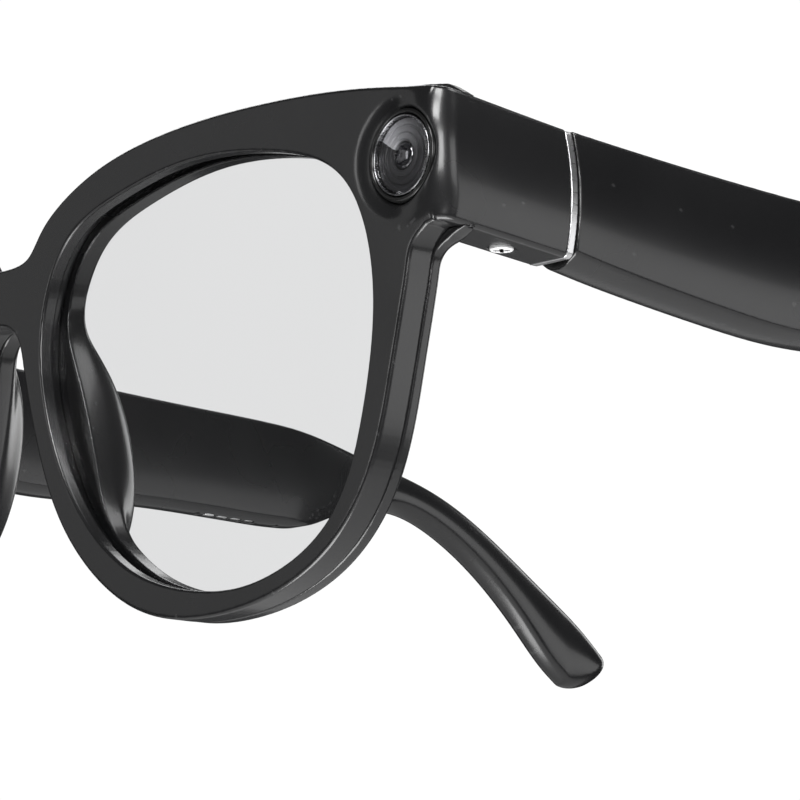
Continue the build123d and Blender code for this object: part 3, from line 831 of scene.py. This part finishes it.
def make_speaker_mesh(side, right):
    """Light mesh inserts that sit just inside the speaker slots."""
    points, faces = [], []
    count = 24
    radius = 0.4
    half_straight = 0.53
    bottom, top = -19.75, -18.6
    for centre in slot_centres():
        outline = []
        for i in range(count):
            angle = 2 * math.pi * i / count
            end = half_straight if math.sin(angle) >= 0 else -half_straight
            x = SLOT_X + radius * math.cos(angle)
            outline.append((x, centre + end + radius * math.sin(angle)))
        start = len(points)
        for z in (bottom, top):
            points += [(x, y, z) for x, y in outline]
        faces.append([start + i for i in reversed(range(count))])
        faces.append([start + count + i for i in range(count)])
        for i in range(count):
            j = (i + 1) % count
            faces.append([start + i, start + j, start + count + j, start + count + i])
    make_piece(f"speaker_grille_{side}", on_hinge(points, right), faces, f"temple_{side}",
               [f"speaker_mesh_{side}"], MESH, flip=right)


def left_holes(x, y, z):
    window = block(x, y, z, (-3.5, 26.5, -12.2), (-0.5, 33.5, -9.8))
    return speaker_holes(x, y, z) + [window]


def right_holes(x, y, z):
    key = np.maximum(pill(x, y, 0.6, 30.0, 9.6, 3.2), -6.0 - z)
    shapes = speaker_holes(x, y, z) + [key]
    for centre in (22.0, 27.0):
        contact = np.hypot(y - centre, z + 11.0) - 1.25
        shapes.append(np.maximum(contact, x + 1.2))
    return shapes


def make_temples():
    for side, right, holes in (("left", False, left_holes), ("right", True, right_holes)):
        field = temple_field(holes)
        across = steps((-2.9, 5.0, 0.18))
        along = steps((7.0, 9.0, 0.07), (9.0, 70.0, TEMPLE_CELL), (70.0, 88.0, 0.15),
                      (88.0, 154.4, TEMPLE_CELL))
        upright = steps((-39.4, -21.0, TEMPLE_CELL), (-21.0, -1.2, 0.18))
        points, quads = surface(field, (across, along, upright))
        nodes = [f"temple_shell_{side}", f"temple_cover_{side}"]
        make_piece(f"temple_{side}_skin", on_hinge(points, right), quads, f"temple_{side}", nodes,
                   TEMPLE_BLACK, flip=right)
        make_speaker_mesh(side, right)


# ---------------------------------------------------------------- studio

def aim(obj, place, target):
    obj.location = place
    obj.rotation_euler = (Vector(target) - Vector(place)).to_track_quat("-Z", "Y").to_euler()


def softbox(name, place, target, width, height, power):
    light = bpy.data.lights.new(name, "AREA")
    light.shape = "RECTANGLE"
    light.size = width
    light.size_y = height
    light.energy = power
    lamp = bpy.data.objects.new(name, light)
    bpy.context.scene.collection.objects.link(lamp)
    aim(lamp, place, target)
    return lamp


def stage_plane(name, centre, across, up, size, material):
    """Flat stage piece spanned by two directions."""
    across = Vector(across).normalized() * size / 2
    up = Vector(up).normalized() * size / 2
    centre = Vector(centre)
    corners = [centre - across - up, centre + across - up, centre + across + up, centre - across + up]
    mesh = bpy.data.meshes.new(name)
    mesh.from_pydata([tuple(c) for c in corners], [], [(0, 1, 2, 3)])
    mesh.materials.append(material)
    plane = bpy.data.objects.new(name, mesh)
    bpy.context.scene.collection.objects.link(plane)
    return plane


def stage_material(name, glow_colour, glow, colour):
    material, nodes, links, shader = new_material(name)
    patches = noise(nodes, links, 3, 2)
    shade = tint(nodes, links, patches.outputs["Fac"], [c * 0.98 for c in colour], colour)
    links.new(shade, shader.inputs["Base Color"])
    shader.inputs["Roughness"].default_value = 0.8
    shader.inputs["Specular IOR Level"].default_value = 0.0
    shader.inputs["Emission Color"].default_value = (*glow_colour, 1)
    shader.inputs["Emission Strength"].default_value = glow
    return material


CAMERA_AZIMUTH = math.radians(48.089)
CAMERA_RISE = math.radians(10.443)
CAMERA_PLACE = Vector((0.42959, -0.32673, -0.12272)) + Vector(TO_ROW) / 1000
FOCAL_LENGTH = 211.54


def make_camera():
    right = Vector((math.cos(CAMERA_AZIMUTH), math.sin(CAMERA_AZIMUTH), 0))
    ahead = Vector((-math.sin(CAMERA_AZIMUTH) * math.cos(CAMERA_RISE),
                    math.cos(CAMERA_AZIMUTH) * math.cos(CAMERA_RISE), math.sin(CAMERA_RISE)))
    up = right.cross(ahead)
    data = bpy.data.cameras.new("camera")
    data.lens = FOCAL_LENGTH
    data.sensor_width = 36.0
    data.clip_start = 0.01
    camera = bpy.data.objects.new("camera", data)
    bpy.context.scene.collection.objects.link(camera)
    turn = Matrix((right, up, -ahead)).transposed().to_4x4()
    camera.matrix_world = Matrix.Translation(CAMERA_PLACE) @ turn
    bpy.context.scene.camera = camera
    return right, up, ahead


def make_studio(right, up, ahead):
    """Dim world, glowing backdrop that just fills the picture, pale floor and the lamps."""
    world = bpy.data.worlds.new("studio")
    world.use_nodes = True
    world.node_tree.nodes["Background"].inputs["Color"].default_value = (0.9, 0.92, 0.95, 1)
    world.node_tree.nodes["Background"].inputs["Strength"].default_value = 0.04
    bpy.context.scene.world = world
    backdrop = stage_material("backdrop white", (1, 1, 1), 1.02, (0, 0, 0))
    stage_plane("backdrop", CAMERA_PLACE + ahead * 2.4, right, up, 0.46, backdrop)
    floor = stage_material("floor pale", (0.8, 0.8, 0.8), 0.0, (0.8, 0.8, 0.8))
    stage_plane("floor", (0, 0, -0.34), (1, 0, 0), (0, 1, 0), 1.2, floor)
    middle = Vector((0.05, -0.04, 0.03))
    # name, azimuth and height in degrees seen from the glasses, distance, width, height, power
    lamps = [
        ("low side", 42, -6, 1.35, 0.75, 0.52, 1.8),
        ("pad light", 42, 55, 1.35, 0.80, 0.50, 5.0),
        ("side fill", 8, 8, 1.35, 0.50, 0.60, 2.4),
        ("far side", 100, 12, 1.35, 0.50, 0.70, 2.5),
        ("front", -136, 12, 1.35, 1.00, 0.70, 0.75),
        ("front corner", -108, 10, 1.35, 0.30, 0.60, 1.6),
        ("corner", -35, 12, 1.35, 0.45, 0.60, 10.0),
        ("corner high", -48, 42, 1.35, 0.50, 0.35, 10.0),
        ("top back", 150, 42, 1.35, 1.00, 0.40, 4.0),
        ("under", -60, -75, 0.28, 0.20, 0.20, 0.9),
    ]
    for name, azimuth, rise, distance, width, height, power in lamps:
        turn, tilt = math.radians(azimuth), math.radians(rise)
        level_part = math.cos(tilt)
        direction = Vector((level_part * math.cos(turn), level_part * math.sin(turn), math.sin(tilt)))
        softbox(name, middle + direction * distance, middle, width, height, power)


dress_cad_nodes()
make_front()
for lens_side, on_right in (("left", False), ("right", True)):
    make_lens(lens_side, on_right)
make_module("camera", False)
make_module("light", True)
make_camera_inside()
make_rings()
make_temples()
view_right, view_up, view_ahead = make_camera()
make_studio(view_right, view_up, view_ahead)
bpy.context.scene.view_settings.view_transform = "Standard"
